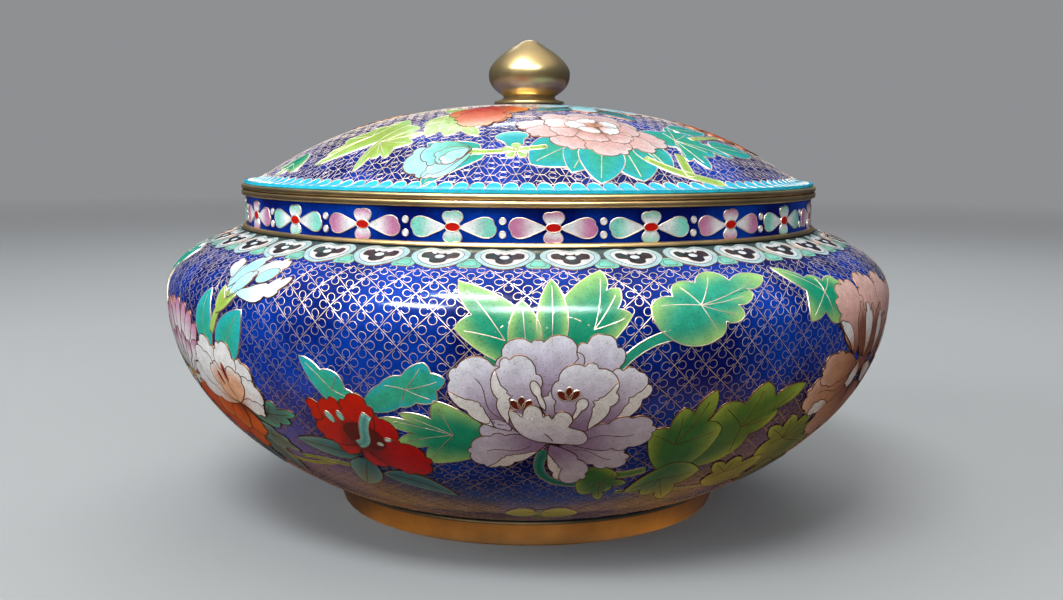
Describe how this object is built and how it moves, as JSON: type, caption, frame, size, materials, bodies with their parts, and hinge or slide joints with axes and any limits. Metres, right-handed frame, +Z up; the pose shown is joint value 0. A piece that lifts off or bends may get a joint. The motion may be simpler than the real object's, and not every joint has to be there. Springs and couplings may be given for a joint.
{
  "type": "cloisonne lidded bowl",
  "caption": "Round lidded bowl of enamelled copper: compressed belly, short upright neck, shallow domed lift-off lid with a brass onion knob, brass rims and a brass foot ring.",
  "frame": {"origin": "centre of the circle on which the foot ring stands", "axes": "+Z up along the axis of the bowl; -Y is the side that the picture shows"},
  "size_m": [0.363, 0.363, 0.2347],
  "materials": {
    "bowl_enamel": "glossy fired enamel with gilt wires",
    "lid_enamel": "glossy fired enamel with gilt wires",
    "brass": "satin",
    "knob_brass": "satin, slightly toned"
  },
  "bodies": {
    "root": {"bowl": "bowl_enamel", "foot_ring": "brass", "neck_fillet": "brass", "mouth_rim": "brass", "lid": "lid_enamel", "lid_rim": "brass", "knob": "knob_brass"}
  },
  "joints": []
}
